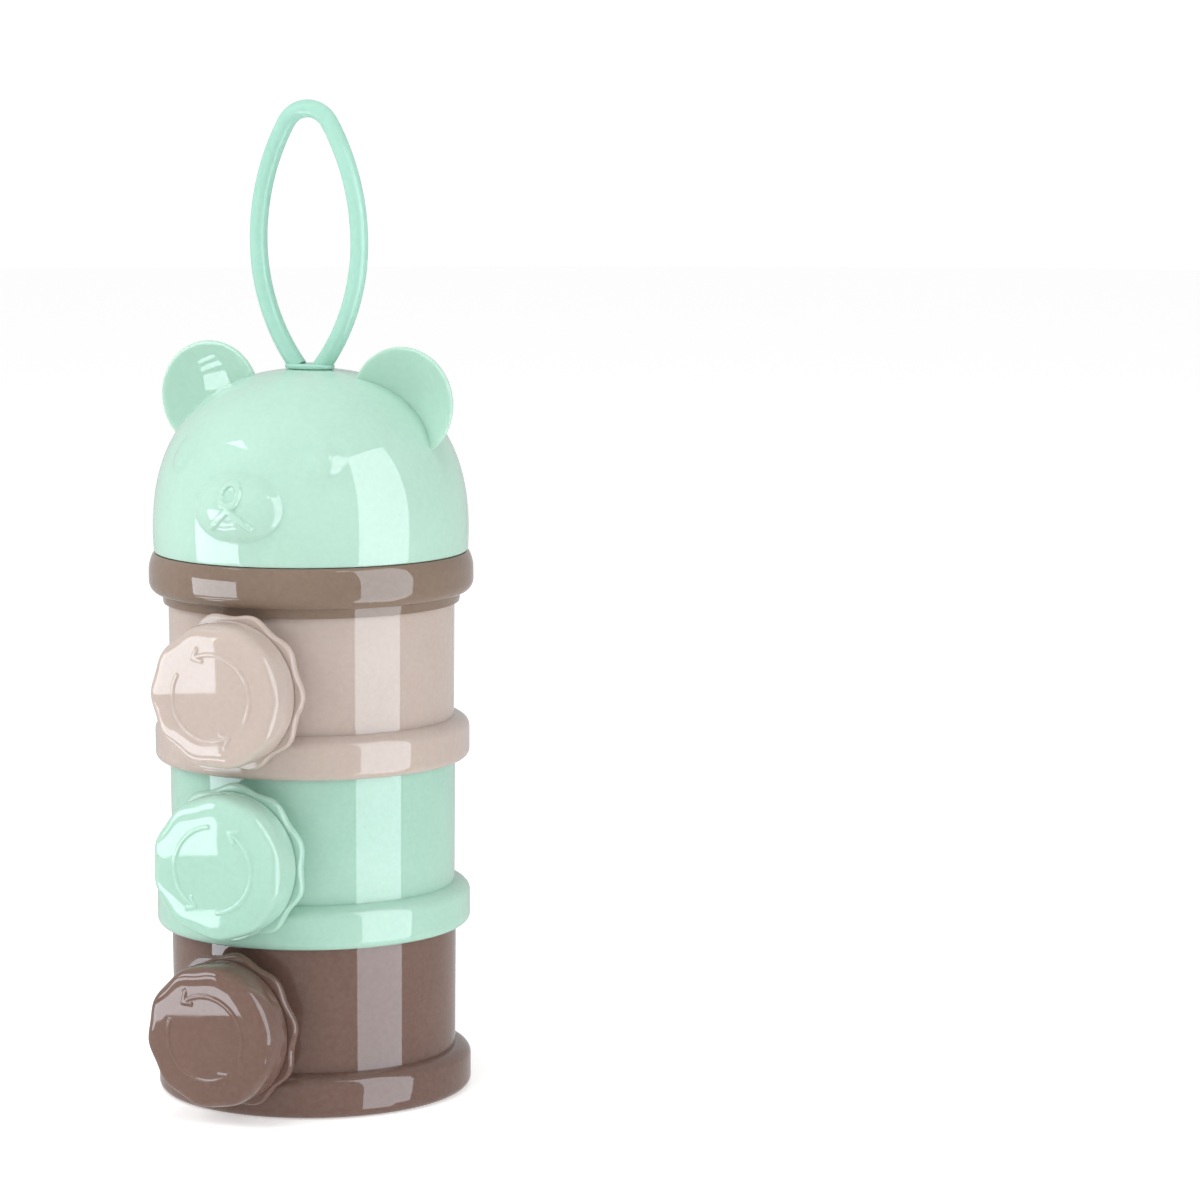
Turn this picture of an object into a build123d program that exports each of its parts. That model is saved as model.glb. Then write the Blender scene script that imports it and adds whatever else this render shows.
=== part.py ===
from build123d import *
from math import cos, pi, radians, sin
import os

# Stacking milk-powder dispenser: three screw-together compartments, each with a screw-capped side spout,
# under a bear-head lid with a soft carrying loop. Millimetres, +Z up, the face and the spouts look along -Y,
# and the origin is on the stack's axis in the plane of the bottom rim.

# ---- driving dimensions: the stack -------------------------------------------------------------
pitch_z = 45.3  # rise from one compartment to the next
rim_r = 42.5  # foot rim of a compartment
rim_straight_top = 8.3
rim_top = 11.6
rim_foot_radius = 2.4
body_r = 38.6  # compartment wall at its top, with a little draft below
body_r_low = 38.3
bore_r = 36.6  # inside of the compartment
bore_r_low = 36.3
floor_under = 9.3
floor_top = 11.0
floor_corner = 2.0
neck_r = 38.3  # screw neck that rises into the next part's skirt
neck_height = 7.8
neck_foot = 0.6  # the wall's shoulder stands this far above the foot plane of the next part
neck_chamfer = 0.6
skirt_r = 39.3  # threaded cavity under each floor
thread_pitch = 4.0
thread_depth = 0.8
thread_root_half = 0.7
thread_crest_half = 0.4
thread_gap = 1.4  # axial step from a male ridge down to the female ridge that bears on it
thread_bite = 0.35  # how far a ridge's root is sunk into its wall
neck_thread = (2.0, 6.4)  # heights of a ridge's middle at its two ends, above the joint's foot plane
skirt_thread = (1.2, 5.8)
lid_skirt_thread = (1.4, 5.8)
spout_thread = (45.2, 50.8)  # distances from the stack's axis
cap_thread = (44.2, 50.0)
seal_height = 1.35
seal_margin = (0.1, 0.2)  # a seal stands clear of the bore and of the skirt by this much
seal_chamfer = 0.2
base_turn = -3.0  # the bottom compartment is screwed on a little further round than the others

# ---- driving dimensions: spouts and caps -------------------------------------------------------
spout_z = 23.65  # height of a spout's axis above its compartment's foot
spout_bore_r = 11.0
spout_r = 13.0
spout_collar_r = 14.6
spout_start = 30.0  # distances along the spout are from the stack's axis
spout_collar_end = 41.9
spout_lip = 53.2
cap_rear = 42.8
cap_groove = (45.4, 45.8)  # front of the grip ring, rear lip of the cover
cap_front = 56.4
cap_bore_r = 14.0
cap_sleeve_r = 15.4
cap_sleeve_front = 54.5
cap_sleeve_chamfer = 0.7
# distance, mean radius and wave height of each section of the two lobed mouldings
grip_sections = (
    (cap_rear, 20.0, 0.45),
    (cap_rear + 0.6, 20.5, 0.55),
    (44.9, 20.4, 0.65),
    (cap_groove[0], 19.95, 0.65),
)
coring_r = (15.6, 18.0)  # ring-shaped pocket behind the grip flange
coring_depth = 1.2
liner_thick = 1.2
liner_r = 13.7
cover_clearance = 0.05
cap_lobes = 10
arrow_r = 11.4
arrow_width = 0.9
arrow_height = 0.3
arrow_sweep = 146.0
arrow_start = -28.6
barb_length = 2.6
barb_angle = radians(38)
cap_face_r = 15.9
face_step = 0.25  # the arrows' plane stands this far proud of the cover's rounded front
face_chamfer = 0.2
cover_sections = (
    (cap_groove[1], 19.1, 0.0),
    (48.5, 19.2, 0.05),
    (51.0, 19.15, 0.12),
    (53.2, 18.9, 0.24),
    (54.6, 18.45, 0.36),
    (55.5, 17.75, 0.42),
    (cap_front - face_step, 16.6, 0.36),
)
cover_hollow = (17.4, 53.0)  # radius and front end of the space behind the cover's skirt

# ---- driving dimensions: head ------------------------------------------------------------------
head_z = 3 * pitch_z  # underside datum of the head's ring
ring_lip_drop = 2.5
ring_top = head_z + 11.0
ring_r = 43.74
ring_under_r = 40.65  # where the ring's underside starts to round up
ring_round = 3.5
ring_straight_top = 6.0
ring_shoulder = (43.4, 8.7)  # radius and height of the middle of the rounding above the straight
ring_top_edge = ((42.65, -0.4), (42.25, 0.0))  # radius, and height against the ring's top
ring_lip_r = (39.9, 40.3)
ring_lip_bore_r = 39.3
head_floor_top = head_z + 11.1
head_neck_r = 39.3
head_neck_bore_r = 37.5
head_neck_top = ring_top + 7.8
dome_bottom = ring_top + 0.15
dome_r = 42.5
dome_bottom_r = 42.3
dome_centre_z = 152.0
dome_rise = 44.0
dome_side_wall = 2.8
dome_crown_wall = 2.4
dome_edge_radius = 0.5
dome_power = 2.35  # exponent of the superellipse that the dome's outline follows
dome_skirt_r = 40.3
dome_seal_height = 1.2
dome_seal_play = 0.15
crown_seat_z = 195.8
crown_seat_r = 8.0
strap_hole_r = 3.2
ear_r = 15.0
ear_depth = 4.5
ear_wall = 1.5
ear_lip = ((ear_r, 0.7), (ear_r - 0.35, -0.25), (ear_r - 1.2, 0.1))  # the rounded edge, from back to front
ear_x = 29.0
ear_y = -3.0
ear_z = 187.8
eye_turn = 33.0
eye_z = 175.0
eye_r = 37.7  # distance of an eye's centre from the axis
eye_lean = 0.62  # rise of an eye's normal against its outward run
eye_size = (4.3, 5.2, 1.5)
muzzle_z = 161.6
muzzle_y = -38.2
muzzle_size = (13.2, 8.0, 9.7)
nose_z = 166.2  # the nose is an oval band, and two bands fork down from it as the mouth
nose_size = (2.5, 3.0)
mouth_fork_z = 162.2
mouth_reach = 5.6
mouth_z = 157.4
band_width = 1.6
band_height = 0.6

# ---- driving dimensions: carrying loop ---------------------------------------------------------
cord_r = 2.42
loop_widest_z = 230.0
loop_half_width = 15.2
loop_lower_radius = 53.8
loop_upper_radius = 62.0
loop_tip_radius = 7.6
pad_bottom = 195.95
pad_height = 1.3
pad_size = (7.2, 4.2)
stem_r = 2.9
stem_groove_r = 2.0
retainer_r = 6.5
retainer_thick = 1.5
retainer_chamfer = 0.3
retainer_gap = 0.4
retainer_play = 0.05
stem_tail = 2.0  # tapered end below the groove, which is pushed through the washer
stem_taper = 12
pad_sink = 1.0  # the cord's ends start this far under the pad's underside and are cut off there

os.makedirs("parts", exist_ok=True)


def save(piece, name):
    """Label a finished piece and write its STEP file."""
    piece.part.label = name
    export_step(piece.part, f"parts/{name}.step")


def place(shape, name, location):
    """Write a copy of a repeated piece where it stands in the stack."""
    with BuildPart() as placed:
        with Locations(location):
            add(shape, clean=False)
    save(placed, name)


def upright(z):
    """Plane of a profile that is revolved about the stack's axis: x is radius, y is height above z."""
    return Plane(origin=(0, 0, z), x_dir=(1, 0, 0), z_dir=(0, -1, 0))


def spout_plane(z, turn):
    """Plane across a spout, on the stack's axis: its normal points out along the spout, and its y is up."""
    angle = radians(turn)
    outward = (sin(angle), -cos(angle), 0)
    return Plane(origin=(0, 0, z + spout_z), x_dir=(cos(angle), sin(angle), 0), z_dir=outward)


def thread_ridge(base, root_r, crest_r, heights, lead_in):
    """Right-hand trapezoid ridge about base's normal, its middle rising from one of heights to the other.

    root_r is the wall that the ridge stands on, and crest_r its free edge. lead_in is the height at
    which the same helix would stand over base's x axis.
    """
    first, last = heights
    outward = 1 if crest_r > root_r else -1
    sunk_r = root_r - outward * thread_bite
    across = abs(crest_r - sunk_r)
    slope = (thread_root_half - thread_crest_half) / thread_depth
    sunk_half = thread_root_half + slope * thread_bite
    with BuildLine() as helix:
        Helix(pitch=thread_pitch, height=last - first, radius=sunk_r)
    section_plane = Plane(origin=helix.line @ 0, x_dir=(outward, 0, 0), z_dir=helix.line % 0)
    with BuildPart() as ridge:
        with BuildSketch(section_plane):
            with BuildLine():
                Polyline(
                    (0, -sunk_half),
                    (across, -thread_crest_half),
                    (across, thread_crest_half),
                    (0, sunk_half),
                    close=True,
                )
            make_face()
        sweep(path=helix.line, is_frenet=True)
    start_angle = 360 * (first - lead_in) / thread_pitch
    with BuildPart() as placed:
        with Locations(base.location * Location((0, 0, first), (0, 0, start_angle))):
            add(ridge.part)
    return placed.part


def lobed_points(mean_r, wave):
    """Points round a circle whose radius swells cap_lobes times, for a closed spline."""
    count = 8 * cap_lobes
    angles = [2 * pi * i / count for i in range(count)]
    return [
        ((mean_r + wave * cos(cap_lobes * a)) * cos(a), (mean_r + wave * cos(cap_lobes * a)) * sin(a))
        for a in angles
    ]


def dome_points(radius, rise, steps=9):
    """Points up a superellipse quarter, from its widest place to the axis."""
    points = []
    for i in range(steps + 1):
        angle = pi / 2 * i / steps
        across = radius * max(cos(angle), 0.0) ** (2 / dome_power)
        up = rise * sin(angle) ** (2 / dome_power)
        points.append((0.0 if i == steps else across, up))
    return points


# ---- compartments ------------------------------------------------------------------------------
def make_compartment():
    """Cup with a foot rim over a threaded skirt, a threaded neck on top, and a threaded spout in front."""
    front = spout_plane(0, 0)
    ridges = (
        thread_ridge(Plane.XY.offset(pitch_z), neck_r, neck_r + thread_depth, neck_thread, neck_thread[0]),
        thread_ridge(Plane.XY, skirt_r, skirt_r - thread_depth, skirt_thread, neck_thread[0] - thread_gap),
        thread_ridge(front, spout_r, spout_r + thread_depth, spout_thread, spout_thread[0]),
    )
    with BuildPart() as cup:
        with BuildSketch(upright(0)):
            with BuildLine():
                Line((0, 0), (rim_r - rim_foot_radius, 0))
                CenterArc((rim_r - rim_foot_radius, rim_foot_radius), rim_foot_radius, 270, 90)
                Line((rim_r, rim_foot_radius), (rim_r, rim_straight_top))
                EllipticalCenterArc(
                    (body_r_low, rim_straight_top),
                    rim_r - body_r_low,
                    rim_top - rim_straight_top,
                    start_angle=0,
                    arc_size=90,
                )
                Polyline(
                    (body_r_low, rim_top),
                    (body_r, pitch_z + neck_foot),
                    (neck_r, pitch_z + neck_foot),
                    (neck_r, pitch_z + neck_height - neck_chamfer),
                    (neck_r - neck_chamfer, pitch_z + neck_height),
                    (0, pitch_z + neck_height),
                    (0, 0),
                )
            make_face()
        revolve(axis=Axis.Z)
        # The spout and the collar at its root start inside the wall, and the cavities are cut after them.
        with BuildSketch(front.offset(spout_start)):
            Circle(spout_r)
        extrude(amount=spout_lip - spout_start)
        with BuildSketch(front.offset(spout_start)):
            Circle(spout_collar_r)
        extrude(amount=spout_collar_end - spout_start)
        with BuildSketch(upright(0)):
            with BuildLine():
                Polyline(
                    (bore_r_low, floor_top + floor_corner),
                    (bore_r, pitch_z + neck_height),
                    (0, pitch_z + neck_height),
                    (0, floor_top),
                    (bore_r_low - floor_corner, floor_top),
                )
                CenterArc(
                    (bore_r_low - floor_corner, floor_top + floor_corner), floor_corner, 270, 90
                )
            make_face()
        revolve(axis=Axis.Z, mode=Mode.SUBTRACT)
        with BuildSketch(Plane.XY):
            Circle(skirt_r)
        extrude(amount=floor_under, mode=Mode.SUBTRACT)
        with BuildSketch(front.offset(spout_start)):
            Circle(spout_bore_r)
        extrude(amount=spout_lip - spout_start, mode=Mode.SUBTRACT)
        for ridge in ridges:
            add(ridge)
    return cup.part


# ---- caps --------------------------------------------------------------------------------------
# A cap is made with its axis along +Z and the stack's axis at the origin, and placed on its spout later.
def make_grip_ring():
    """Inner moulding of a cap: a threaded sleeve with a lobed grip flange."""
    ridge = thread_ridge(
        Plane.XY, cap_bore_r, cap_bore_r - thread_depth, cap_thread, spout_thread[0] - thread_gap
    )
    with BuildPart() as ring:
        for distance, mean_r, wave in grip_sections:
            with BuildSketch(Plane.XY.offset(distance)):
                with BuildLine():
                    Spline(*lobed_points(mean_r, wave), periodic=True)
                make_face()
        loft()
        with BuildSketch(Plane.XY.offset(cap_groove[0] - 1)):
            Circle(cap_sleeve_r)
        extrude(amount=cap_sleeve_front - cap_groove[0] + 1)
        chamfer(ring.edges().filter_by(GeomType.CIRCLE).sort_by(Axis.Z)[-1], cap_sleeve_chamfer)
        with BuildSketch(Plane.XY.offset(cap_rear)):
            Circle(cap_bore_r)
        extrude(amount=cap_sleeve_front - cap_rear, mode=Mode.SUBTRACT)
        # Coring from behind keeps the grip ring's wall even.
        with BuildSketch(Plane.XY.offset(cap_rear)):
            Circle(coring_r[1])
            Circle(coring_r[0], mode=Mode.SUBTRACT)
        extrude(amount=coring_depth, mode=Mode.SUBTRACT)
        add(ridge)
    return ring.part


def make_cover():
    """Outer moulding of a cap: a scalloped cup with two raised arrows on its face."""
    with BuildPart() as cover:
        for distance, mean_r, wave in cover_sections:
            with BuildSketch(Plane.XY.offset(distance)):
                with BuildLine():
                    Spline(*lobed_points(mean_r, wave), periodic=True)
                make_face()
        loft()
        with BuildSketch(Plane.XY.offset(cap_groove[1])):
            Circle(cap_sleeve_r + cover_clearance)
        extrude(amount=cap_sleeve_front + cover_clearance - cap_groove[1], mode=Mode.SUBTRACT)
        with BuildSketch(Plane.XY.offset(cap_groove[1])):
            Circle(cover_hollow[0])
        extrude(amount=cover_hollow[1] - cap_groove[1], mode=Mode.SUBTRACT)
        with BuildSketch(Plane.XY.offset(cap_front - face_step)):
            Circle(cap_face_r)
        extrude(amount=face_step)
        chamfer(cover.edges().filter_by(GeomType.CIRCLE).sort_by(Axis.Z)[-1], face_chamfer)
        # Two raised arrows run counter-clockwise, the way the cap opens.
        with BuildSketch(Plane.XY.offset(cap_front)):
            for half_turn in (0, 180):
                with BuildLine():
                    CenterArc((0, 0), arrow_r, arrow_start + half_turn, arrow_sweep)
                trace(line_width=arrow_width)
                tip = radians(arrow_start + arrow_sweep + half_turn)
                tip_point = (arrow_r * cos(tip), arrow_r * sin(tip))
                barbs = []
                for side in (-1, 1):
                    back = tip - pi / 2 + side * barb_angle
                    barbs.append(
                        (tip_point[0] + barb_length * cos(back), tip_point[1] + barb_length * sin(back))
                    )
                with BuildLine():
                    Polyline(barbs[0], tip_point, barbs[1])
                trace(line_width=arrow_width)
        extrude(amount=arrow_height)
    return cover.part


def make_liner():
    """Soft disc that the cap presses on the spout's lip."""
    with BuildPart() as liner:
        with BuildSketch(Plane.XY.offset(spout_lip)):
            Circle(liner_r)
        extrude(amount=liner_thick)
    return liner.part


# ---- seals -------------------------------------------------------------------------------------
def make_seal(name, bottom, height, inner_r, outer_r):
    """Flat sealing ring that lies on a screw neck."""
    with BuildPart() as seal:
        with BuildSketch(Plane.XY.offset(bottom)):
            Circle(outer_r)
            Circle(inner_r, mode=Mode.SUBTRACT)
        extrude(amount=height)
        chamfer(seal.edges().filter_by(GeomType.CIRCLE), seal_chamfer)
    save(seal, name)


# ---- head --------------------------------------------------------------------------------------
def make_head_base():
    """Ring that closes the top compartment and carries the head; its floor is the floor of the head store."""
    under = Plane.XY.offset(head_z)
    above = Plane.XY.offset(ring_top)
    ridges = (
        thread_ridge(under, skirt_r, skirt_r - thread_depth, skirt_thread, neck_thread[0] - thread_gap),
        thread_ridge(above, head_neck_r, head_neck_r + thread_depth, neck_thread, neck_thread[0]),
    )
    with BuildPart() as ring:
        with BuildSketch(upright(0)):
            with BuildLine():
                Polyline(
                    (0, head_z - ring_lip_drop),
                    (ring_lip_r[0], head_z - ring_lip_drop),
                    (ring_lip_r[1], head_z),
                    (ring_under_r, head_z),
                )
                EllipticalCenterArc(
                    (ring_under_r, head_z + ring_round),
                    ring_r - ring_under_r,
                    ring_round,
                    start_angle=270,
                    arc_size=90,
                )
                straight_top = (ring_r, head_z + ring_straight_top)
                top_edge = [(r, ring_top + h) for r, h in ring_top_edge]
                Line((ring_r, head_z + ring_round), straight_top)
                ThreePointArc(straight_top, (ring_shoulder[0], head_z + ring_shoulder[1]), top_edge[0])
                Polyline(
                    *top_edge,
                    (head_neck_r, ring_top),
                    (head_neck_r, head_neck_top - neck_chamfer),
                    (head_neck_r - neck_chamfer, head_neck_top),
                    (0, head_neck_top),
                    (0, head_z - ring_lip_drop),
                )
            make_face()
        revolve(axis=Axis.Z)
        with BuildSketch(Plane.XY.offset(head_z - ring_lip_drop)):
            Circle(ring_lip_bore_r)
        extrude(amount=ring_lip_drop, mode=Mode.SUBTRACT)
        with BuildSketch(Plane.XY.offset(head_z)):
            Circle(skirt_r)
        extrude(amount=floor_under, mode=Mode.SUBTRACT)
        with BuildSketch(Plane.XY.offset(head_floor_top)):
            Circle(head_neck_bore_r)
        extrude(amount=head_neck_top - head_floor_top, mode=Mode.SUBTRACT)
        for ridge in ridges:
            add(ridge)
    save(ring, "head_base")


def make_bump(size):
    """Ellipsoid about the origin, for the muzzle and the eyes."""
    with BuildPart() as bump:
        Sphere(1)
        scale(by=size)
    return bump.part


def make_nose_and_mouth():
    """Raised band that follows the muzzle: an oval nose, and a mouth that forks down from it."""
    muzzle_plane = Plane.XZ.offset(-muzzle_y)
    with BuildPart() as band:
        with BuildSketch(muzzle_plane):
            with Locations((0, nose_z)):
                Ellipse(nose_size[0] + band_width / 2, nose_size[1] + band_width / 2)
                Ellipse(nose_size[0] - band_width / 2, nose_size[1] - band_width / 2, mode=Mode.SUBTRACT)
            with BuildLine():
                Line((0, nose_z - nose_size[1]), (0, mouth_fork_z))
            trace(line_width=band_width)
            with BuildLine():
                Polyline((-mouth_reach, mouth_z), (0, mouth_fork_z), (mouth_reach, mouth_z))
            trace(line_width=band_width)
        extrude(amount=muzzle_size[1] + band_height)
        with Locations((0, muzzle_y, muzzle_z)):
            add(make_bump(tuple(size + band_height for size in muzzle_size)), mode=Mode.INTERSECT)
    return band.part


def make_dome():
    """Bear-head lid: a thin shell with dished ears and a low-relief face, threaded inside its lower edge."""
    ridge = thread_ridge(
        Plane.XY.offset(ring_top),
        dome_skirt_r,
        dome_skirt_r - thread_depth,
        lid_skirt_thread,
        neck_thread[0] - thread_gap,
    )
    muzzle = make_bump(muzzle_size)
    nose_and_mouth = make_nose_and_mouth()
    eye = make_bump(eye_size)
    with BuildPart() as ear:
        # Half-section of the dish, its hollow facing -Y.
        with BuildSketch(Plane.XY):
            with BuildLine():
                Line((0, ear_depth), (0, ear_depth + ear_wall))
                TangentArc((0, ear_depth + ear_wall), ear_lip[0], tangent=(1, 0))
                ThreePointArc(*ear_lip)
                TangentArc((0, ear_depth), ear_lip[2], tangent=(1, 0))
            make_face()
        revolve(axis=Axis.Y)

    with BuildPart() as dome:
        with BuildSketch(upright(dome_centre_z)):
            with BuildLine():
                drop = dome_bottom - dome_centre_z
                edge_r = dome_bottom_r - dome_edge_radius
                Polyline((0, dome_rise), (0, drop), (edge_r, drop))
                CenterArc((edge_r, drop + dome_edge_radius), dome_edge_radius, 270, 90)
                Line((dome_bottom_r, drop + dome_edge_radius), (dome_r, 0))
                Spline(*dome_points(dome_r, dome_rise), tangents=((0, 1), (-1, 0)))
            make_face()
        revolve(axis=Axis.Z)
        for side in (-1, 1):
            with Locations((side * ear_x, ear_y, ear_z)):
                add(ear.part)
        with Locations((0, muzzle_y, muzzle_z)):
            add(muzzle)
        add(nose_and_mouth)
        for side in (-1, 1):
            angle = radians(side * eye_turn)
            out = (sin(angle), -cos(angle))
            eye_plane = Plane(
                origin=(eye_r * out[0], eye_r * out[1], eye_z),
                x_dir=(cos(angle), sin(angle), 0),
                z_dir=(out[0], out[1], eye_lean),
            )
            with Locations(eye_plane.location):
                add(eye)
        # Hollow: the skirt first, then the space of the store above it.
        with BuildSketch(Plane.XY.offset(dome_bottom)):
            Circle(dome_skirt_r)
        extrude(amount=head_neck_top + dome_seal_height + dome_seal_play - dome_bottom, mode=Mode.SUBTRACT)
        with BuildSketch(upright(dome_centre_z)):
            with BuildLine():
                inner_r = dome_r - dome_side_wall
                inner_rise = dome_rise - dome_crown_wall
                Polyline((0, inner_rise), (0, drop), (inner_r, drop), (inner_r, 0))
                Spline(*dome_points(inner_r, inner_rise), tangents=((0, 1), (-1, 0)))
            make_face()
        revolve(axis=Axis.Z, mode=Mode.SUBTRACT)
        # Flat seat and hole for the carrying loop.
        with BuildSketch(Plane.XY.offset(crown_seat_z)):
            Circle(crown_seat_r)
        extrude(amount=dome_crown_wall, mode=Mode.SUBTRACT)
        with Locations((0, 0, crown_seat_z)):
            Hole(strap_hole_r, depth=2 * dome_crown_wall)
        add(ridge)
    save(dome, "bear_head_lid")


# ---- carrying loop -----------------------------------------------------------------------------
def make_strap():
    """Soft moulded loop: a round cord bent to a pointed oval on a foot pad, with a stem through the crown."""
    tip_join = (loop_half_width - loop_upper_radius) / (loop_tip_radius - loop_upper_radius)
    lift = (1 - tip_join**2) ** 0.5
    join = (loop_tip_radius * tip_join, loop_widest_z + loop_upper_radius * lift)
    tip_z = join[1] + loop_tip_radius * (1 - lift)
    foot_drop = loop_widest_z - pad_bottom + pad_sink
    foot_in = loop_lower_radius - (loop_lower_radius**2 - foot_drop**2) ** 0.5
    foot = (loop_half_width - foot_in, loop_widest_z - foot_drop)
    widest = (loop_half_width, loop_widest_z)
    with BuildPart() as strap:
        with BuildLine(Plane.XZ) as path:
            TangentArc(widest, foot, tangent=(0, -1))
            TangentArc(widest, join, tangent=(0, 1))
            ThreePointArc(join, (0, tip_z), (-join[0], join[1]))
            TangentArc((-widest[0], widest[1]), (-join[0], join[1]), tangent=(0, 1))
            TangentArc((-widest[0], widest[1]), (-foot[0], foot[1]), tangent=(0, -1))
        wire = path.wires()[0]
        with BuildSketch(Plane(origin=wire @ 0, z_dir=wire % 0)):
            Circle(cord_r)
        sweep(path=wire)
        split(bisect_by=Plane.XY.offset(pad_bottom), keep=Keep.TOP)
        with BuildSketch(Plane.XY.offset(pad_bottom)):
            Ellipse(*pad_size)
        extrude(amount=pad_height)
        with BuildSketch(Plane.XY.offset(pad_bottom)):
            Circle(stem_r)
        extrude(amount=-(pad_bottom - groove_top))
        with BuildSketch(Plane.XY.offset(groove_top)):
            Circle(stem_groove_r)
        extrude(amount=-groove_height)
        with BuildSketch(Plane.XY.offset(groove_top - groove_height)):
            Circle(stem_r)
        extrude(amount=-stem_tail, taper=stem_taper)
    save(strap, "carrying_loop")

    with BuildPart() as retainer:
        with BuildSketch(Plane.XY.offset(groove_top - retainer_play)):
            Circle(retainer_r)
            Circle(stem_groove_r + retainer_play, mode=Mode.SUBTRACT)
        extrude(amount=-retainer_thick)
        chamfer(retainer.edges().filter_by(GeomType.CIRCLE).group_by(SortBy.RADIUS)[-1], retainer_chamfer)
    save(retainer, "loop_retainer")


# Underside of the dome's crown, less a little play, is where the stem's groove starts.
groove_top = dome_centre_z + dome_rise - dome_crown_wall - retainer_gap
groove_height = retainer_thick + 2 * retainer_play

# name, foot height, turn of the spout about the stack, turn of the cap about the spout
layers = (
    ("base", 0.0, base_turn, 8.7),
    ("middle", pitch_z, 0.0, -54.6),
    ("upper", 2 * pitch_z, 0.0, 0.0),
)
compartment = make_compartment()
grip_ring = make_grip_ring()
cover = make_cover()
liner = make_liner()
for layer, z, turn, cap_turn in layers:
    front = spout_plane(z, turn)
    # The grip ring turns by less than one lobe, so its thread stays in step with the spout's.
    ring_turn = cap_turn % (360 / cap_lobes)
    place(compartment, f"{layer}_compartment", Location((0, 0, z), (0, 0, turn)))
    place(grip_ring, f"{layer}_cap_grip_ring", front.location * Location((0, 0, 0), (0, 0, ring_turn)))
    place(cover, f"{layer}_cap_cover", front.location * Location((0, 0, 0), (0, 0, cap_turn)))
    place(liner, f"{layer}_cap_liner", front.location)

seated = (("middle", pitch_z), ("upper", 2 * pitch_z), ("head", head_z))
for above, z in seated:
    make_seal(
        f"{above}_seal", z + neck_height, seal_height, bore_r + seal_margin[0], skirt_r - seal_margin[1]
    )
make_seal(
    "lid_seal",
    head_neck_top,
    dome_seal_height,
    head_neck_bore_r + seal_margin[0],
    dome_skirt_r - seal_margin[1],
)

make_head_base()
make_dome()
make_strap()
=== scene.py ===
from math import cos, hypot, pi, radians, sin, sqrt

import bmesh
import bpy
import numpy as np
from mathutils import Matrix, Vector


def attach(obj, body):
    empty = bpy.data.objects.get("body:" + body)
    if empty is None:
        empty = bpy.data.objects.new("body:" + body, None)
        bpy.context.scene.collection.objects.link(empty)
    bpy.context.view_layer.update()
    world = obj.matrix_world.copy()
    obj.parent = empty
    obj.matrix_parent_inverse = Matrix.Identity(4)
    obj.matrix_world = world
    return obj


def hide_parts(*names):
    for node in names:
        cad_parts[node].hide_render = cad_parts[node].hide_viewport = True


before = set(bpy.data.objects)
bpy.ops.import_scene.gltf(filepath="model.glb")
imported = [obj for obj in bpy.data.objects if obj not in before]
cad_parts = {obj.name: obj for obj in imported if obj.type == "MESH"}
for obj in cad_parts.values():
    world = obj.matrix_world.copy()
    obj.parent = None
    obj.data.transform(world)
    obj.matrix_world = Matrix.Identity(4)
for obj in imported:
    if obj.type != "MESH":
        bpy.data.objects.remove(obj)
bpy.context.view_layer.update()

# Formula dispenser: dense meshes for the bear head, the carrying loop and the cap covers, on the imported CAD.
# Lengths below are in millimetres unless a name says otherwise, and the face and spouts look along -Y.
MM = 0.001
scene = bpy.context.scene


# ---- materials ---------------------------------------------------------------------------------
def srgb(r, g, b):
    """Linear colour of an sRGB triple from 0 to 255."""
    shares = (r / 255, g / 255, b / 255)
    return tuple(c / 12.92 if c <= 0.04045 else ((c + 0.055) / 1.055) ** 2.4 for c in shares) + (1,)


def mix_colours(tree, factor, first, second):
    """Node that mixes two colours, each a fixed colour or a socket, by a factor socket."""
    node = tree.nodes.new("ShaderNodeMix")
    node.data_type = "RGBA"
    tree.links.new(factor, node.inputs["Factor"])
    for socket, value in ((node.inputs["A"], first), (node.inputs["B"], second)):
        if isinstance(value, tuple):
            socket.default_value = value
        else:
            tree.links.new(value, socket)
    return node.outputs["Result"]


def noise(tree, where, size_mm, detail=2.0, roughness=0.5):
    """Noise of about the given feature size, read in the piece's own coordinates."""
    node = tree.nodes.new("ShaderNodeTexNoise")
    node.inputs["Scale"].default_value = 1000.0 / size_mm
    node.inputs["Detail"].default_value = detail
    node.inputs["Roughness"].default_value = roughness
    tree.links.new(where, node.inputs["Vector"])
    return node.outputs["Fac"]


def ramp(tree, value, low, high, out_low, out_high):
    """Linear map of a value, held at its ends."""
    node = tree.nodes.new("ShaderNodeMapRange")
    node.inputs["From Min"].default_value = low
    node.inputs["From Max"].default_value = high
    node.inputs["To Min"].default_value = out_low
    node.inputs["To Max"].default_value = out_high
    tree.links.new(value, node.inputs["Value"])
    return node.outputs["Result"]


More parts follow.
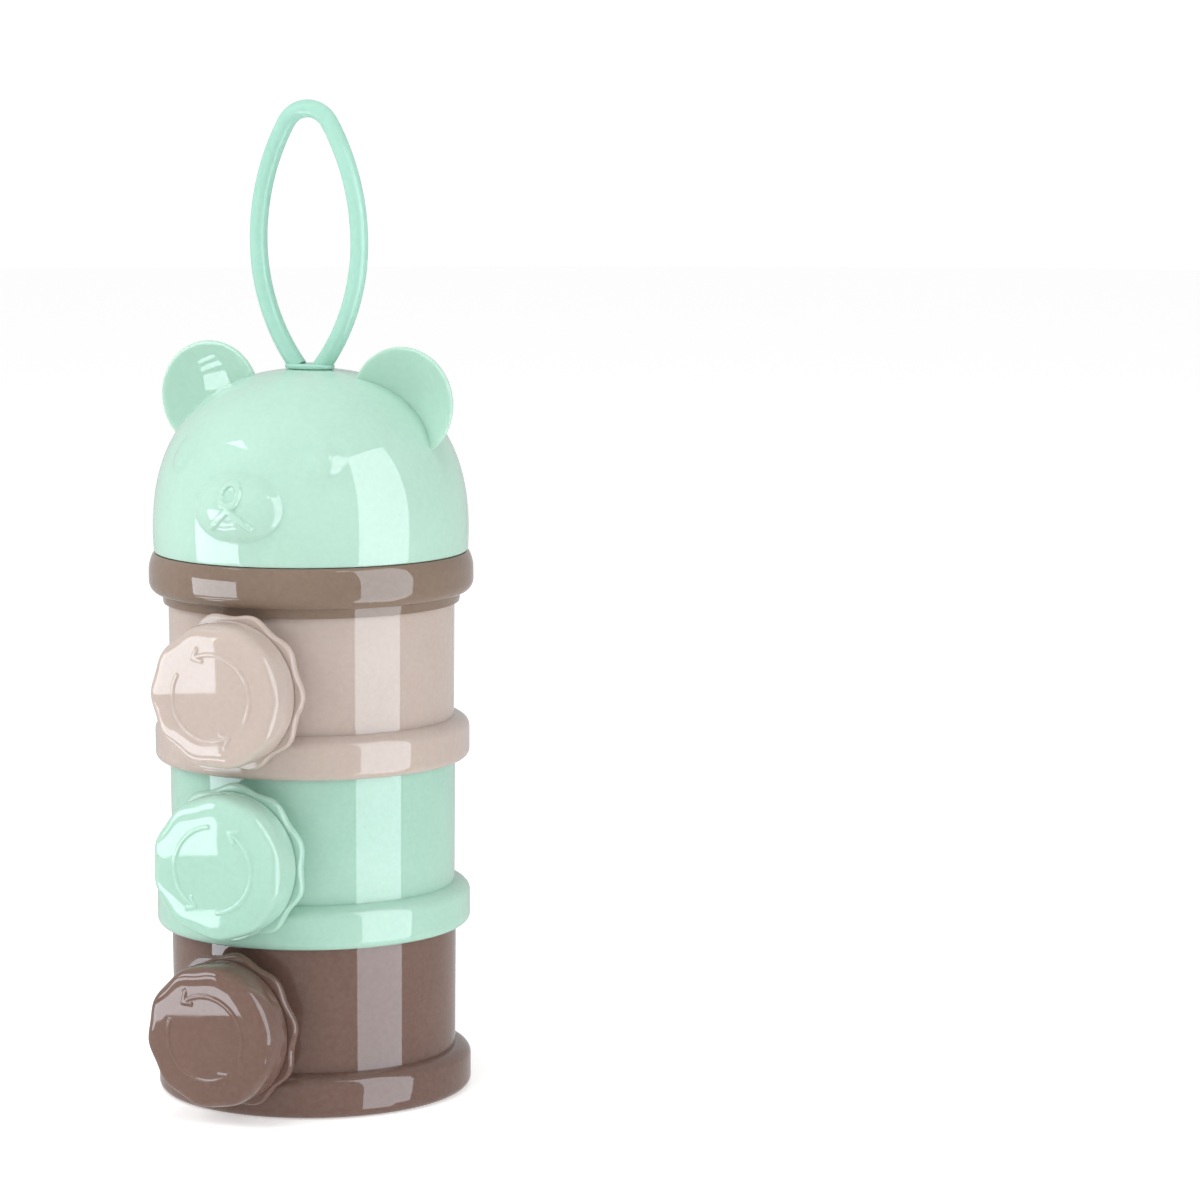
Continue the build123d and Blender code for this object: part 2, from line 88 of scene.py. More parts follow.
def moulded(
    name,
    colour,
    deep,
    pale,
    gloss=0.025,
    soft=0.12,
    depth=2.5,
    grain=0.0002,
    ripple=0.004,
    clarity=0.0,
):
    """Moulded plastic or silicone: faint flow clouding and mottling, fine grain and orange peel."""
    material = bpy.data.materials.new(name)
    material.use_nodes = True
    tree = material.node_tree
    shader = tree.nodes["Principled BSDF"]
    where = tree.nodes.new("ShaderNodeTexCoord").outputs["Object"]
    # Pigment never mixes evenly: broad clouds and a finer mottling between the body colour and a deeper one.
    clouds = ramp(tree, noise(tree, where, 34.0, 3.0, 0.45), 0.35, 0.68, 0.0, 1.0)
    body = mix_colours(tree, clouds, colour, deep)
    mottle = ramp(tree, noise(tree, where, 1.6, 4.0, 0.6), 0.3, 0.75, 0.0, 0.16)
    body = mix_colours(tree, mottle, body, pale)
    tree.links.new(body, shader.inputs["Base Color"])
    # Polished tool surface with faint handling haze.
    haze = ramp(tree, noise(tree, where, 9.0, 5.0, 0.62), 0.4, 0.8, gloss, gloss + 0.035)
    tree.links.new(haze, shader.inputs["Roughness"])
    shader.inputs["IOR"].default_value = 1.5
    shader.inputs["Subsurface Weight"].default_value = soft
    shader.inputs["Subsurface Radius"].default_value = (1.0, 0.8, 0.6)
    shader.inputs["Subsurface Scale"].default_value = depth * MM
    shader.inputs["Transmission Weight"].default_value = clarity
    # Orange peel at a few millimetres, then tool grain at a fraction of one.
    normal = None
    for size, detail, roughness, height in ((5.5, 1.5, 0.4, ripple), (0.35, 3.0, 0.6, grain)):
        bump = tree.nodes.new("ShaderNodeBump")
        bump.inputs["Strength"].default_value = 1.0
        bump.inputs["Distance"].default_value = height * MM
        tree.links.new(noise(tree, where, size, detail, roughness), bump.inputs["Height"])
        if normal:
            tree.links.new(normal, bump.inputs["Normal"])
        normal = bump.outputs["Normal"]
    tree.links.new(normal, shader.inputs["Normal"])
    return material


taupe = moulded("taupe_plastic", srgb(115, 89, 79), srgb(107, 82, 73), srgb(152, 131, 119))
taupe_ring = moulded(
    "taupe_ring_plastic", srgb(129, 110, 95), srgb(122, 103, 89), srgb(162, 145, 132)
)
mint = moulded("mint_plastic", srgb(169, 208, 191), srgb(160, 201, 184), srgb(202, 235, 223), soft=0.2)
mint_dome = moulded(
    "mint_dome_plastic", srgb(178, 214, 198), srgb(171, 207, 191), srgb(207, 236, 225), soft=0.2
)
beige = moulded(
    "beige_plastic", srgb(190, 175, 166), srgb(183, 167, 158), srgb(220, 208, 198), soft=0.18
)
mint_soft = moulded(
    "mint_silicone",
    srgb(160, 207, 191),
    srgb(150, 199, 182),
    srgb(196, 231, 219),
    gloss=0.3,
    soft=0.3,
    depth=3.0,
    grain=0.004,
    ripple=0.02,
)
clear_soft = moulded(
    "clear_silicone",
    srgb(226, 229, 227),
    srgb(214, 219, 217),
    srgb(240, 243, 241),
    gloss=0.28,
    soft=0.25,
    depth=2.0,
    grain=0.003,
    ripple=0.01,
    clarity=0.35,
)


# ---- helpers for shapes ------------------------------------------------------------------------
def mesh_piece(name, points, faces, material):
    """Object from points in millimetres, with smooth faces."""
    mesh = bpy.data.meshes.new(name)
    mesh.from_pydata([(x * MM, y * MM, z * MM) for x, y, z in points], [], faces)
    mesh.validate()
    mesh.shade_smooth()
    mesh.materials.append(material)
    piece = bpy.data.objects.new(name, mesh)
    scene.collection.objects.link(piece)
    return piece


def divided(points, per_mm):
    """Profile made denser: each straight run is divided into about per_mm steps to the millimetre."""
    made = [points[0]]
    for a, b in zip(points, points[1:]):
        steps = max(1, int(hypot(b[0] - a[0], b[1] - a[1]) * per_mm))
        for i in range(1, steps + 1):
            t = i / steps
            made.append((a[0] + (b[0] - a[0]) * t, a[1] + (b[1] - a[1]) * t))
    return made


def arc(centre, radii, start, end, steps):
    """Points on an elliptical arc in a profile, angles in degrees."""
    made = []
    for i in range(steps + 1):
        angle = radians(start + (end - start) * i / steps)
        made.append((centre[0] + radii[0] * cos(angle), centre[1] + radii[1] * sin(angle)))
    return made


def lathe(name, profile, material, columns=192, centre=(0, 0, 0), about="Z"):
    """Closed solid of revolution. The profile is (radius, height) pairs, from the axis round to the axis."""
    rings = [(r, h) for r, h in profile if r > 0]
    points = [(0, 0, profile[0][1])]
    for r, h in rings:
        for i in range(columns):
            a = 2 * pi * i / columns
            points.append((r * cos(a), r * sin(a), h))
    points.append((0, 0, profile[-1][1]))
    end = len(points) - 1
    faces = []
    for i in range(columns):
        j = (i + 1) % columns
        faces.append((0, 1 + j, 1 + i))
        for row in range(len(rings) - 1):
            low = 1 + row * columns
            high = low + columns
            faces.append((low + i, low + j, high + j, high + i))
        top = 1 + (len(rings) - 1) * columns
        faces.append((top + i, top + j, end))
    if about == "Y":
        points = [(x, z, -y) for x, y, z in points]
    points = [(x + centre[0], y + centre[1], z + centre[2]) for x, y, z in points]
    piece = mesh_piece(name, points, faces, material)
    outward(piece)
    return piece


def outward(piece):
    """Turns every face of a closed mesh outward."""
    work = bmesh.new()
    work.from_mesh(piece.data)
    bmesh.ops.recalc_face_normals(work, faces=work.faces)
    work.to_mesh(piece.data)
    work.free()


def combine(piece, other, operation):
    """Joins another closed solid to a piece, or cuts it away, and removes the other."""
    step = piece.modifiers.new("combine", "BOOLEAN")
    step.operation = operation
    step.object = other
    step.solver = "MANIFOLD"
    bpy.context.view_layer.update()
    graph = bpy.context.evaluated_depsgraph_get()
    made = bpy.data.meshes.new_from_object(piece.evaluated_get(graph), depsgraph=graph)
    if len(made.polygons) < 12:
        raise SystemExit(f"{piece.name}: {operation} with {other.name} gave nothing")
    piece.modifiers.clear()
    piece.data = made
    bpy.data.objects.remove(other)


def creased(piece, degrees):
    """Smooth shading that breaks only at real edges."""
    piece.data.shade_smooth()
    split = piece.modifiers.new("crease", "EDGE_SPLIT")
    split.split_angle = radians(degrees)
    split.use_edge_sharp = False


def smooth_node(node, material):
    """A CAD node keeps its shape: its faces are welded where they meet, and shaded smooth between edges."""
    if "custom_normal" in node.data.attributes:
        node.data.attributes.remove(node.data.attributes["custom_normal"])
    weld = node.modifiers.new("weld", "WELD")
    weld.merge_threshold = 0.004 * MM
    creased(node, 30)
    if not node.material_slots:
        node.data.materials.append(material)
    for place in node.material_slots:
        place.material = material


# ---- carried-over CAD nodes --------------------------------------------------------------------
node_materials = {
    "base_compartment": taupe,
    "base_cap_grip_ring": taupe,
    "base_cap_cover": taupe,
    "middle_compartment": mint,
    "middle_cap_grip_ring": mint,
    "middle_cap_cover": mint,
    "upper_compartment": beige,
    "upper_cap_grip_ring": beige,
    "upper_cap_cover": beige,
    "head_base": taupe_ring,
    "bear_head_lid": mint_dome,
    "carrying_loop": mint_soft,
    "loop_retainer": clear_soft,
}
for name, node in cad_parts.items():
    smooth_node(node, node_materials.get(name, clear_soft))


# ---- bear-head lid -----------------------------------------------------------------------------
ring_top = 146.9
dome_bottom = ring_top + 0.15
dome_r = 42.5
dome_bottom_r = 42.3
dome_centre_z = 152.0
dome_rise = 44.0
dome_power = 2.35
dome_fillet = 0.5  # rounding of the dome's bottom edge
muzzle_y, muzzle_z, muzzle_size = -38.2, 161.6, (13.2, 8.0, 9.7)
muzzle_span = (radians(30), 12)  # turn from the front and height from its middle that hold the muzzle
muzzle_blend = (0.35, 1.45)  # size of the rounded passage to the dome, below and above the muzzle
eye_turn, eye_z, eye_size, eye_proud = 33.0, 175.0, (4.3, 4.816), 0.825
eye_fade = (0.55, 1.12)  # shares of the eye's size between which it sinks into the dome
nose_z, nose_size = 166.2, (2.5, 3.0)
mouth_fork_z, mouth_reach, mouth_z = 162.2, 5.6, 157.4
face_half = 8  # the nose and the mouth lie this near to the middle
band_edge, band_height = (0.58, 1.0), 0.7  # distances between which a band's side falls off
ear_at = (29.0, -3.0, 187.8)
crown_seat_r, crown_seat_z, crown_hole_r = 8.0, 195.8, 3.2


def dome_radius(z):
    """Radius of the plain dome at a height."""
    if z <= dome_centre_z:
        t = (z - dome_bottom) / (dome_centre_z - dome_bottom)
        return dome_bottom_r + (dome_r - dome_bottom_r) * t
    up = min(1.0, (z - dome_centre_z) / dome_rise)
    return dome_r * (1 - up**dome_power) ** (1 / dome_power)


def soft_max(a, b, k):
    """The larger of two values, with a rounded passage of size k between them."""
    h = max(k - abs(a - b), 0.0) / k
    return max(a, b) + h * h * k * 0.25


def muzzle_radius(angle, z):
    """Distance from the stack's axis at which a level ray leaves the muzzle, or 0 where it misses."""
    sx, sy, sz = muzzle_size
    rest = 1 - ((z - muzzle_z) / sz) ** 2
    a = (sin(angle) / sx) ** 2 + (cos(angle) / sy) ** 2
    b = 2 * cos(angle) * muzzle_y / sy**2
    c = (muzzle_y / sy) ** 2 - rest
    inside = b * b - 4 * a * c
    return (-b + sqrt(inside)) / (2 * a) if inside > 0 and cos(angle) > 0 else 0.0


def band_distance(x, z):
    """Distance in the front view from the middle line of the nose and mouth."""
    dx, dz = x / nose_size[0], (z - nose_z) / nose_size[1]
    away = hypot(dx, dz)
    nearest = abs(away - 1) * (nose_size[0] + nose_size[1]) / 2
    strokes = (
        ((0, nose_z - nose_size[1]), (0, mouth_fork_z)),
        ((0, mouth_fork_z), (mouth_reach, mouth_z)),
        ((0, mouth_fork_z), (-mouth_reach, mouth_z)),
    )
    for (ax, az), (bx, bz) in strokes:
        length2 = (bx - ax) ** 2 + (bz - az) ** 2
        t = min(1.0, max(0.0, ((x - ax) * (bx - ax) + (z - az) * (bz - az)) / length2))
        nearest = min(nearest, hypot(x - ax - t * (bx - ax), z - az - t * (bz - az)))
    return nearest


def smooth_step(value, low, high):
    """0 below low, 1 above high, and an even S-curve between them."""
    t = min(1.0, max(0.0, (value - low) / (high - low)))
    return t * t * (3 - 2 * t)


def face_radius(angle, z):
    """Radius of the lid's outside at a turn from the front and a height, with the low-relief face on it."""
    plain = dome_radius(z)
    radius = plain
    if abs(angle) < muzzle_span[0] and abs(z - muzzle_z) < muzzle_span[1]:
        bump = muzzle_radius(angle, z)
        if bump > 0:
            low, high = muzzle_blend
            radius = soft_max(plain, bump, low + (high - low) * smooth_step(z, muzzle_z, muzzle_z + 8))
        x = radius * sin(angle)
        if abs(x) < face_half:
            radius += band_height * (1 - smooth_step(band_distance(x, z), *band_edge))
    for side in (-1, 1):
        across = (angle - side * radians(eye_turn)) * plain
        away = hypot(across / eye_size[0], (z - eye_z) / eye_size[1])
        radius += eye_proud * (1 - smooth_step(away, *eye_fade))
    return radius


def graded(low, high, fine_low, fine_high, fine, coarse):
    """Positions from low to high, spaced fine between two marks and growing to coarse away from them."""
    made = []
    at = low
    while at < high - 1e-9:
        made.append(at)
        gap = max(0.0, fine_low - at, at - fine_high)
        at += min(coarse, fine + gap * 0.12)
    return made


# Columns lie closer over the muzzle, and rows closer over the nose and mouth.
turns = graded(0, 180, 0, 20.0, 0.34, 1.9) + [180.0]
turns = [-t for t in reversed(turns[1:-1])] + turns
heights = graded(dome_bottom + dome_fillet, 186.0, 155.0, 171.0, 0.26, 0.9)
# Over the last row of heights the rows follow even steps of the superellipse's angle instead.
crown_from, crown_steps = 50.5, 27
crown = []
for step in range(1, crown_steps):
    angle = radians(crown_from + (90 - crown_from) * step / crown_steps)
    z = dome_centre_z + dome_rise * sin(angle) ** (2 / dome_power)
    if z > heights[-1] + 0.3:
        crown.append(z)
fillet_centre = (dome_bottom_r - dome_fillet, dome_bottom + dome_fillet)
edge = arc(fillet_centre, (dome_fillet, dome_fillet), -90, -12, 6)


def build_dome():
    """The lid's outside as one closed solid, before it is hollowed."""
    rows = []
    for r, z in edge:
        rows.append([(r, z)] * len(turns))
    for z in heights:
        rows.append([(face_radius(radians(t), z), z) for t in turns])
    for z in crown:
        rows.append([(dome_radius(z), z)] * len(turns))
    points = [(0, 0, dome_bottom)]
    for row in rows:
        for (r, z), t in zip(row, turns):
            points.append((r * sin(radians(t)), -r * cos(radians(t)), z))
    points.append((0, 0, dome_centre_z + dome_rise))
    count = len(turns)
    faces = []
    for i in range(count):
        j = (i + 1) % count
        faces.append((0, 1 + i, 1 + j))
        for row in range(len(rows) - 1):
            low = 1 + row * count
            faces.append((low + i, low + j, low + count + j, low + count + i))
        top = 1 + (len(rows) - 1) * count
        faces.append((top + i, top + j, len(points) - 1))
    piece = mesh_piece("bear_head_shell", points, faces, mint_dome)
    outward(piece)
    return piece


def ear_profile():
    """Half-section of an ear dish, from the axis at the back round the lip to the axis at the front."""
    sides = []
    for depth, edge_r, edge_y, steps in ((6.0, 15.0, 0.7, 30), (4.5, 13.8, 0.1, 28)):
        drop = depth - edge_y
        ball_r = (edge_r**2 + drop**2) / (2 * drop)
        radii = [edge_r * i / steps for i in range(steps + 1)]
        sides.append([(r, depth - ball_r + sqrt(ball_r**2 - r**2)) for r in radii])
    back, front = sides
    lip = [(15.02, 0.42), (14.96, 0.12), (14.82, -0.1), (14.6, -0.22), (14.34, -0.18), (14.06, -0.04)]
    return back + lip + list(reversed(front))


thread_pitch, thread_root_half, thread_crest_half, thread_bite = 4.0, 0.83, 0.4, 0.35


def helix_ridge(name, root_r, crest_r, base_z, heights, lead_in, material):
    """Trapezoid screw ridge on the inside of a wall about the stack's axis, sunk a little into the wall."""
    first, last = heights
    sunk_r = root_r + thread_bite
    section = [
        (sunk_r, -thread_root_half),
        (crest_r, -thread_crest_half),
        (crest_r, thread_crest_half),
        (sunk_r, thread_root_half),
    ]
    steps = int((last - first) / thread_pitch * 120)
    points = []
    for i in range(steps + 1):
        h = first + (last - first) * i / steps
        a = 2 * pi * (h - lead_in) / thread_pitch
        for r, dz in section:
            points.append((r * cos(a), r * sin(a), base_z + h + dz))
    faces = [(0, 1, 2, 3), tuple(4 * steps + k for k in (3, 2, 1, 0))]
    for i in range(steps):
        for k in range(4):
            a, b = 4 * i + k, 4 * i + (k + 1) % 4
            faces.append((a, b, b + 4, a + 4))
    piece = mesh_piece(name, points, faces, material)
    outward(piece)
    return piece


# Inside of the lid: a skirt round the screw neck of the ring, then a hollow that follows the dome.
skirt_r, skirt_top = 40.3, ring_top + 9.15
hollow_r, hollow_rise = 39.7, 41.6
hollow_steps = 40
hollow_low = dome_bottom - 3
inside = divided([(0, hollow_low), (skirt_r, hollow_low), (skirt_r, skirt_top)], 0.7)
inside.append((hollow_r, skirt_top))
for step in range(1, hollow_steps):
    angle = pi / 2 * step / hollow_steps
    z = dome_centre_z + hollow_rise * sin(angle) ** (2 / dome_power)
    if z > skirt_top + 0.25:
        inside.append((hollow_r * cos(angle) ** (2 / dome_power), z))
inside.append((0, dome_centre_z + hollow_rise))

lid = build_dome()
for side, name in ((-1, "ear_right"), (1, "ear_left")):
    centre = (side * ear_at[0], ear_at[1], ear_at[2])
    combine(lid, lathe(name, ear_profile(), mint_dome, columns=160, centre=centre, about="Y"), "UNION")
combine(lid, lathe("hollow", inside, mint_dome, columns=240), "DIFFERENCE")
over_crown, under_crown = 199.0, 188.0
for name, r, low, columns in (
    ("seat", crown_seat_r, crown_seat_z, 96),
    ("hole", crown_hole_r, under_crown, 64),
):
    plug = [(0, low), (r, low), (r, over_crown), (0, over_crown)]
    combine(lid, lathe(name, plug, mint_dome, columns=columns), "DIFFERENCE")
combine(lid, helix_ridge("lid_thread", skirt_r, 39.5, ring_top, (1.4, 5.8), 0.6, mint_dome), "UNION")
creased(lid, 34)
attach(lid, "lid")
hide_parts("bear_head_lid")


# ---- carrying loop -----------------------------------------------------------------------------
cord_r = 2.42
loop_half, loop_widest_z = 15.2, 230.0
loop_low_r, loop_up_r, loop_tip_r = 53.8, 62.0, 7.6
loop_foot_z = 196.4
pad_half = (7.2, 4.2)
groove_top = 193.2


def loop_path():
    """Middle line of the loop's cord, from its right foot over the tip to its left foot, as (x, z) pairs."""
    foot_turn = np.arcsin((loop_widest_z - loop_foot_z) / loop_low_r)
    share = (loop_half - loop_up_r) / (loop_tip_r - loop_up_r)
    top_turn = np.arcsin(sqrt(1 - share**2))
    made = []
    for i in range(41):
        a = foot_turn * (1 - i / 40)
        made.append((loop_half - loop_low_r + loop_low_r * cos(a), loop_widest_z - loop_low_r * sin(a)))
    for i in range(1, 61):
        a = top_turn * i / 60
        made.append((loop_half - loop_up_r + loop_up_r * cos(a), loop_widest_z + loop_up_r * sin(a)))
    end_x, end_z = made[-1]
    centre = (end_x - loop_tip_r * cos(top_turn), end_z - loop_tip_r * sin(top_turn))
    for i in range(1, 15):
        a = top_turn + (pi / 2 - top_turn) * i / 14
        made.append((centre[0] + loop_tip_r * cos(a), centre[1] + loop_tip_r * sin(a)))
    return made + [(-x, z) for x, z in reversed(made[:-1])]


def tube(name, path, r, material, sides=40):
    """Round closed cord in the XZ plane along a path."""
    points = []
    count = len(path)
    for i, (x, z) in enumerate(path):
        before = path[max(0, i - 1)]
        after = path[min(count - 1, i + 1)]
        dx, dz = after[0] - before[0], after[1] - before[1]
        size = hypot(dx, dz)
        nx, nz = dz / size, -dx / size
        for k in range(sides):
            a = 2 * pi * k / sides
            points.append((x + nx * r * cos(a), r * sin(a), z + nz * r * cos(a)))
    faces = [tuple(range(sides)), tuple(reversed(range((count - 1) * sides, count * sides)))]
    for i in range(count - 1):
        for k in range(sides):
            j = (k + 1) % sides
            faces.append((i * sides + k, i * sides + j, (i + 1) * sides + j, (i + 1) * sides + k))
    piece = mesh_piece(name, points, faces, material)
    outward(piece)
    return piece


cord = tube("carrying_loop_cord", loop_path(), cord_r, mint_soft)
pad_rows = [  # share of the pad's half width, height
    (0, 195.96),
    (0.95, 195.96),
    (0.985, 196.05),
    (1.0, 196.25),
    (1.0, 196.7),
    (0.985, 196.98),
    (0.95, 197.17),
    (0.89, 197.25),
    (0, 197.25),
]
pad = lathe("pad", [(share * pad_half[0], z) for share, z in pad_rows], mint_soft, columns=96)
for v in pad.data.vertices:
    v.co.y *= pad_half[1] / pad_half[0]
combine(cord, pad, "UNION")
stem_rows = [  # the tapered tail, the groove for the washer, then the stem up to the cord's feet
    (0, groove_top - 3.6),
    (2.5, groove_top - 3.6),
    (2.9, groove_top - 1.6),
    (2.0, groove_top - 1.6),
    (2.0, groove_top),
    (2.9, groove_top),
    (2.9, loop_foot_z),
    (0, loop_foot_z),
]
combine(cord, lathe("stem", stem_rows, mint_soft, columns=48), "UNION")
creased(cord, 40)
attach(cord, "loop")
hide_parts("carrying_loop")


# ---- cap covers --------------------------------------------------------------------------------
lobes = 10
cover_rows = [  # distance from the stack's axis, mean radius, height of the wave
    (45.8, 18.75, 0.0), (45.84, 18.95, 0.0), (46.0, 19.07, 0.0), (46.3, 19.12, 0.0), (47.2, 19.16, 0.02),
    (48.5, 19.2, 0.05), (49.8, 19.19, 0.08), (51.0, 19.15, 0.12), (52.2, 19.07, 0.15), (53.2, 18.93, 0.19),
    (54.0, 18.73, 0.24), (54.6, 18.48, 0.29), (55.1, 18.13, 0.32), (55.5, 17.68, 0.33), (55.75, 17.15, 0.31),
    (55.92, 16.6, 0.27), (56.04, 15.95, 0.2), (56.12, 15.2, 0.12), (56.18, 14.4, 0.06), (56.24, 13.6, 0.02),
]
cover_inside = (  # distance and radius: out along the face's underside, then down the skirt to its lip
    (54.56, 15.45), (53.0, 15.45), (53.0, 17.4), (45.95, 17.4), (45.8, 17.55),
)
face_front, face_doming, face_r = 56.4, 0.16, 13.6
arrow_r, arrow_edge, arrow_rise = 11.4, (0.26, 0.68), 0.27  # an arrow's side falls off between two distances
arrow_start, arrow_sweep, barb, barb_angle = -28.6, 146.0, 2.6, 38.0
spout_rise = 23.65  # height of a spout's axis over its cup's foot


def segment_distance(x, y, a, b):
    """Distance of a point from a straight stroke."""
    length2 = (b[0] - a[0]) ** 2 + (b[1] - a[1]) ** 2
    t = np.clip(((x - a[0]) * (b[0] - a[0]) + (y - a[1]) * (b[1] - a[1])) / length2, 0, 1)
    return np.hypot(x - a[0] - t * (b[0] - a[0]), y - a[1] - t * (b[1] - a[1]))


def arrow_height(x, y):
    """Height of the two raised arrows over the cap's face."""
    r = np.hypot(x, y)
    turn = np.degrees(np.arctan2(y, x))
    nearest = np.full(x.shape, np.inf)
    for half in (0, 180):
        along = np.mod(turn - arrow_start - half, 360)
        nearest = np.where(along <= arrow_sweep, np.minimum(nearest, np.abs(r - arrow_r)), nearest)
        for end in (arrow_start + half, arrow_start + half + arrow_sweep):
            tip = (arrow_r * cos(radians(end)), arrow_r * sin(radians(end)))
            nearest = np.minimum(nearest, np.hypot(x - tip[0], y - tip[1]))
        for side in (-1, 1):
            back = radians(end - 90 + side * barb_angle)
            heel = (tip[0] + barb * cos(back), tip[1] + barb * sin(back))
            nearest = np.minimum(nearest, segment_distance(x, y, tip, heel))
    t = np.clip((nearest - arrow_edge[0]) / (arrow_edge[1] - arrow_edge[0]), 0, 1)
    return arrow_rise * (1 - t * t * (3 - 2 * t))


def build_cover(name, cad_turn, spout_turn, axis_z, material):
    """Scalloped cap cover with a rounded shoulder and two raised arrows, in place on its spout."""
    columns = 360
    angle = 2 * pi * np.arange(columns) / columns
    level = np.ones(columns)
    rows = [(distance * level, r * level) for distance, r in cover_inside]
    for distance, mean, wave in cover_rows:
        rows.append((distance * level, mean + wave * np.cos(lobes * angle)))
    # Rows lie close together under the arrows, and wider apart towards the middle.
    for r in np.concatenate((np.arange(13.2, 9.2, -0.16), np.arange(9.1, 0.4, -0.35))):
        face = face_front - face_doming * (r / face_r) ** 2
        rows.append((face + arrow_height(r * np.cos(angle), r * np.sin(angle)), r * level))
    points = []
    for distance, r in rows:
        points += list(zip(r * np.cos(angle), r * np.sin(angle), distance))
    hub_in, hub_out = len(points), len(points) + 1
    points += [(0, 0, cover_inside[0][0]), (0, 0, face_front)]
    faces = []
    last = (len(rows) - 1) * columns
    for i in range(columns):
        j = (i + 1) % columns
        faces.append((hub_in, j, i))
        for low in range(0, last, columns):
            faces.append((low + i, low + j, low + columns + j, low + columns + i))
        faces.append((last + i, last + j, hub_out))
    c, s = cos(radians(cad_turn)), sin(radians(cad_turn))
    a = radians(spout_turn)
    right, out = (cos(a), sin(a)), (sin(a), -cos(a))
    placed = []
    for x, y, d in points:
        u, v = x * c - y * s, x * s + y * c
        placed.append((right[0] * u + out[0] * d, right[1] * u + out[1] * d, axis_z + v))
    piece = mesh_piece(name, placed, faces, material)
    outward(piece)
    creased(piece, 36)
    return piece


for layer, foot_z, turn, cad_turn, material, finish in (
    ("base", 0.0, -3.0, 8.7, taupe, "taupe_plastic"),
    ("middle", 45.3, 0.0, -54.6, mint, "mint_plastic"),
    ("upper", 90.6, 0.0, 0.0, beige, "beige_plastic"),
):
    cover = build_cover(f"{layer}_cap_cover_shell", cad_turn, turn, foot_z + spout_rise, material)
    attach(cover, f"{layer}_cap")
    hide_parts(f"{layer}_cap_cover")


# ---- studio ------------------------------------------------------------------------------------
def card(name, corners, strength):
    """Softbox that shows only in glossy surfaces: a bright flat card between corners in millimetres."""
    mesh = bpy.data.meshes.new(name)
    mesh.from_pydata([tuple(c * MM for c in corner) for corner in corners], [], [tuple(range(len(corners)))])
    piece = bpy.data.objects.new(name, mesh)
    scene.collection.objects.link(piece)
    glow = bpy.data.materials.new(name)
    glow.use_nodes = True
    tree = glow.node_tree
    tree.nodes.clear()
    lamp = tree.nodes.new("ShaderNodeEmission")
    lamp.inputs["Color"].default_value = (0.87, 0.93, 1.0, 1)
    lamp.inputs["Strength"].default_value = strength
    out = tree.nodes.new("ShaderNodeOutputMaterial")
    tree.links.new(lamp.outputs["Emission"], out.inputs["Surface"])
    mesh.materials.append(glow)
    piece.visible_camera = False
    piece.visible_shadow = False
    piece.visible_diffuse = False
    piece.visible_transmission = False


def upright_card(name, start, end, low, high, strength):
    """Upright card over the floor line from start to end, between two heights."""
    (x0, y0), (x1, y1) = start, end
    card(name, [(x0, y0, low), (x1, y1, low), (x1, y1, high), (x0, y0, high)], strength)


# The floor isn't seen in reflections, so the right softbox may run on under it, as the bottom cup needs.
upright_card("softbox_right", (178, -106), (200, 22), -60, 336, 5.2)
for number, (low, high) in enumerate(((0.5, 24), (47, 72), (94, 157))):
    upright_card(f"softbox_left_{number}", (-158, -110), (-70, -186), low, high, 7.0)
card("small_window", [(151, -135, 325), (173, -99, 325), (166, -94, 362), (144, -130, 362)], 5.2)
card("corner_window", [(-158, -110, 322), (-98, -168, 338), (-132, -138, 366)], 6.5)

floor_mesh = bpy.data.meshes.new("floor")
floor_mesh.from_pydata([(-9, -9, 0), (9, -9, 0), (9, 9, 0), (-9, 9, 0)], [], [(0, 1, 2, 3)])
floor = bpy.data.objects.new("floor", floor_mesh)
scene.collection.objects.link(floor)
floor.location.z = -0.0001
paper = bpy.data.materials.new("paper_sweep")
paper.use_nodes = True
paper_shader = paper.node_tree.nodes["Principled BSDF"]
paper_shader.inputs["Base Color"].default_value = (0.93, 0.93, 0.93, 1)
paper_shader.inputs["Roughness"].default_value = 0.9
paper_shader.inputs["Specular IOR Level"].default_value = 0.1
paper_shader.inputs["Emission Color"].default_value = (1, 1, 1, 1)
paper_shader.inputs["Emission Strength"].default_value = 0.42
floor_mesh.materials.append(paper)
floor.visible_glossy = False

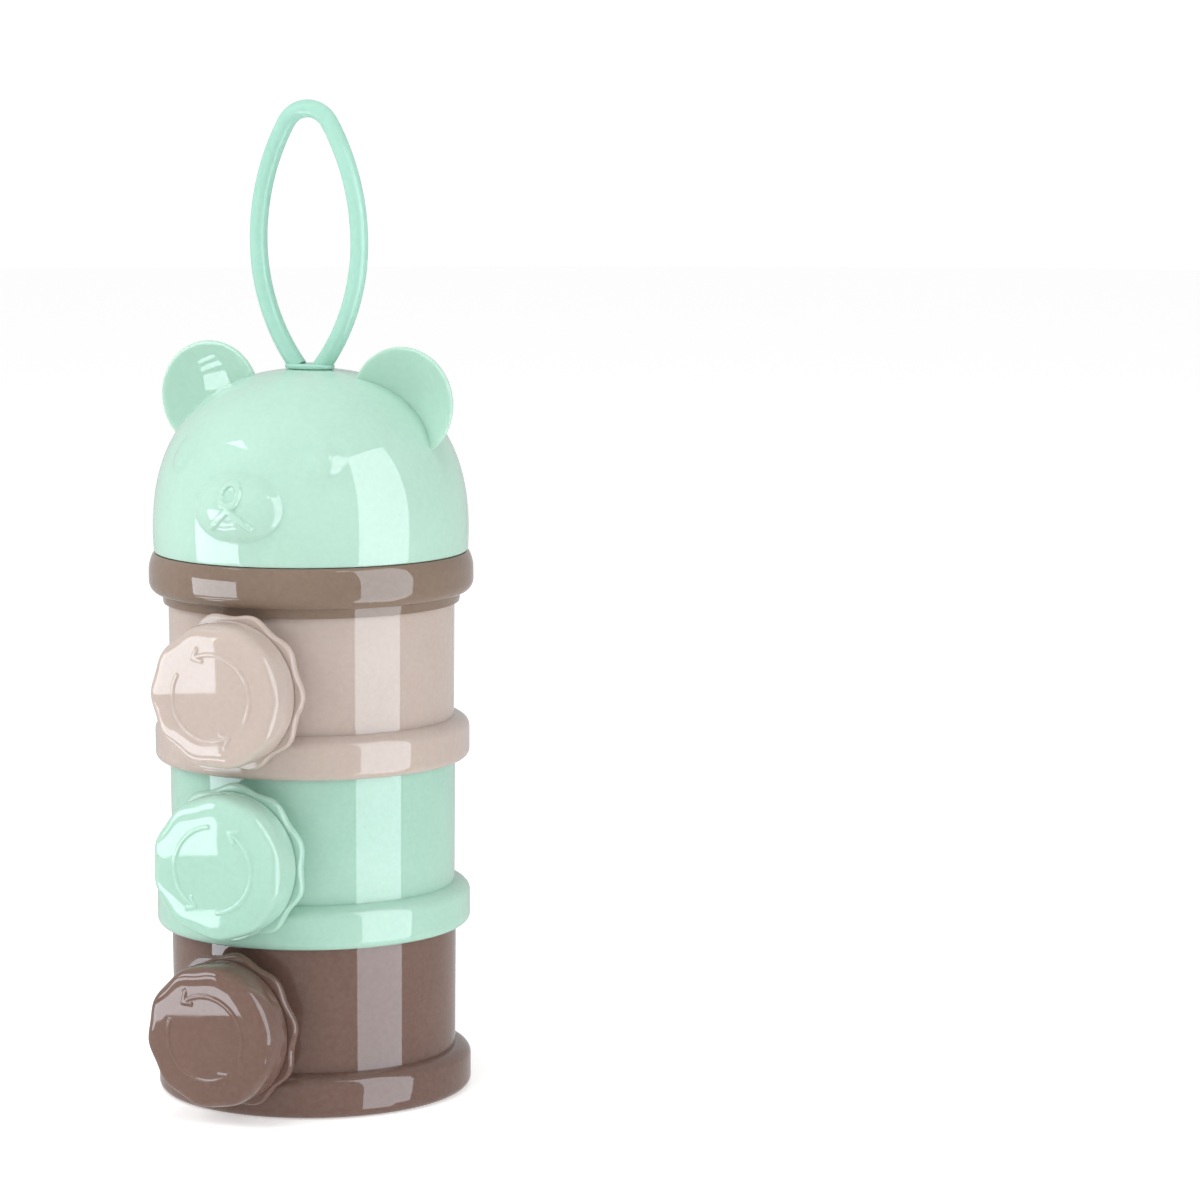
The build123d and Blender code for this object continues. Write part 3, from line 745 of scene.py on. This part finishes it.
# White paper hung round the set, so that the floor has no far edge. It lights nothing.
wall = [(0, -40), (4200, -40), (4200, 2600), (4000, 2600), (4000, -20), (0, -20)]
backdrop = lathe("backdrop", wall, taupe, columns=96)
sheet = bpy.data.materials.new("backdrop_paper")
sheet.use_nodes = True
sheet_shader = sheet.node_tree.nodes["Principled BSDF"]
sheet_shader.inputs["Base Color"].default_value = (0.2, 0.2, 0.2, 1)
sheet_shader.inputs["Emission Color"].default_value = (1, 1, 1, 1)
sheet_shader.inputs["Emission Strength"].default_value = 0.97
backdrop.data.materials.clear()
backdrop.data.materials.append(sheet)
backdrop.visible_diffuse = False
backdrop.visible_glossy = False
backdrop.visible_transmission = False
backdrop.visible_shadow = False

world = bpy.data.worlds.new("studio")
scene.world = world
world.use_nodes = True
sky = world.node_tree.nodes["Background"]
sky.inputs["Color"].default_value = (1, 1, 1, 1)
sky.inputs["Strength"].default_value = 0.6


def soft_light(name, size, power, spot, target):
    """Large square area light that faces a point and isn't seen itself."""
    lamp = bpy.data.lights.new(name, "AREA")
    lamp.shape = "SQUARE"
    lamp.size = size * MM
    lamp.energy = power
    holder = bpy.data.objects.new(name, lamp)
    scene.collection.objects.link(holder)
    holder.location = Vector(spot) * MM
    holder.rotation_mode = "QUATERNION"
    holder.rotation_quaternion = (Vector(target) * MM - holder.location).to_track_quat("-Z", "Y")
    holder.visible_glossy = False
    holder.visible_camera = False
    return holder


soft_light("key", 600, 5.2, (-620, -700, 800), (0, 0, 110))
soft_light("top", 500, 3.2, (0, -260, 1100), (0, 0, 190))
soft_light("side", 420, 1.9, (900, -150, 420), (0, 0, 110))

scene.view_settings.view_transform = "Standard"
scene.view_settings.look = "None"

# ---- camera ------------------------------------------------------------------------------------
lens = bpy.data.cameras.new("camera")
lens.sensor_width = 36.0
lens.lens = 134.16
lens.clip_start = 0.05
lens.clip_end = 50.0
camera = bpy.data.objects.new("camera", lens)
scene.collection.objects.link(camera)
camera.location = Vector((563.60, -1059.98, 290.46)) * MM
camera.rotation_mode = "QUATERNION"
camera.rotation_quaternion = Vector((-0.40771, 0.90380, -0.13010)).to_track_quat("-Z", "Y")
scene.camera = camera
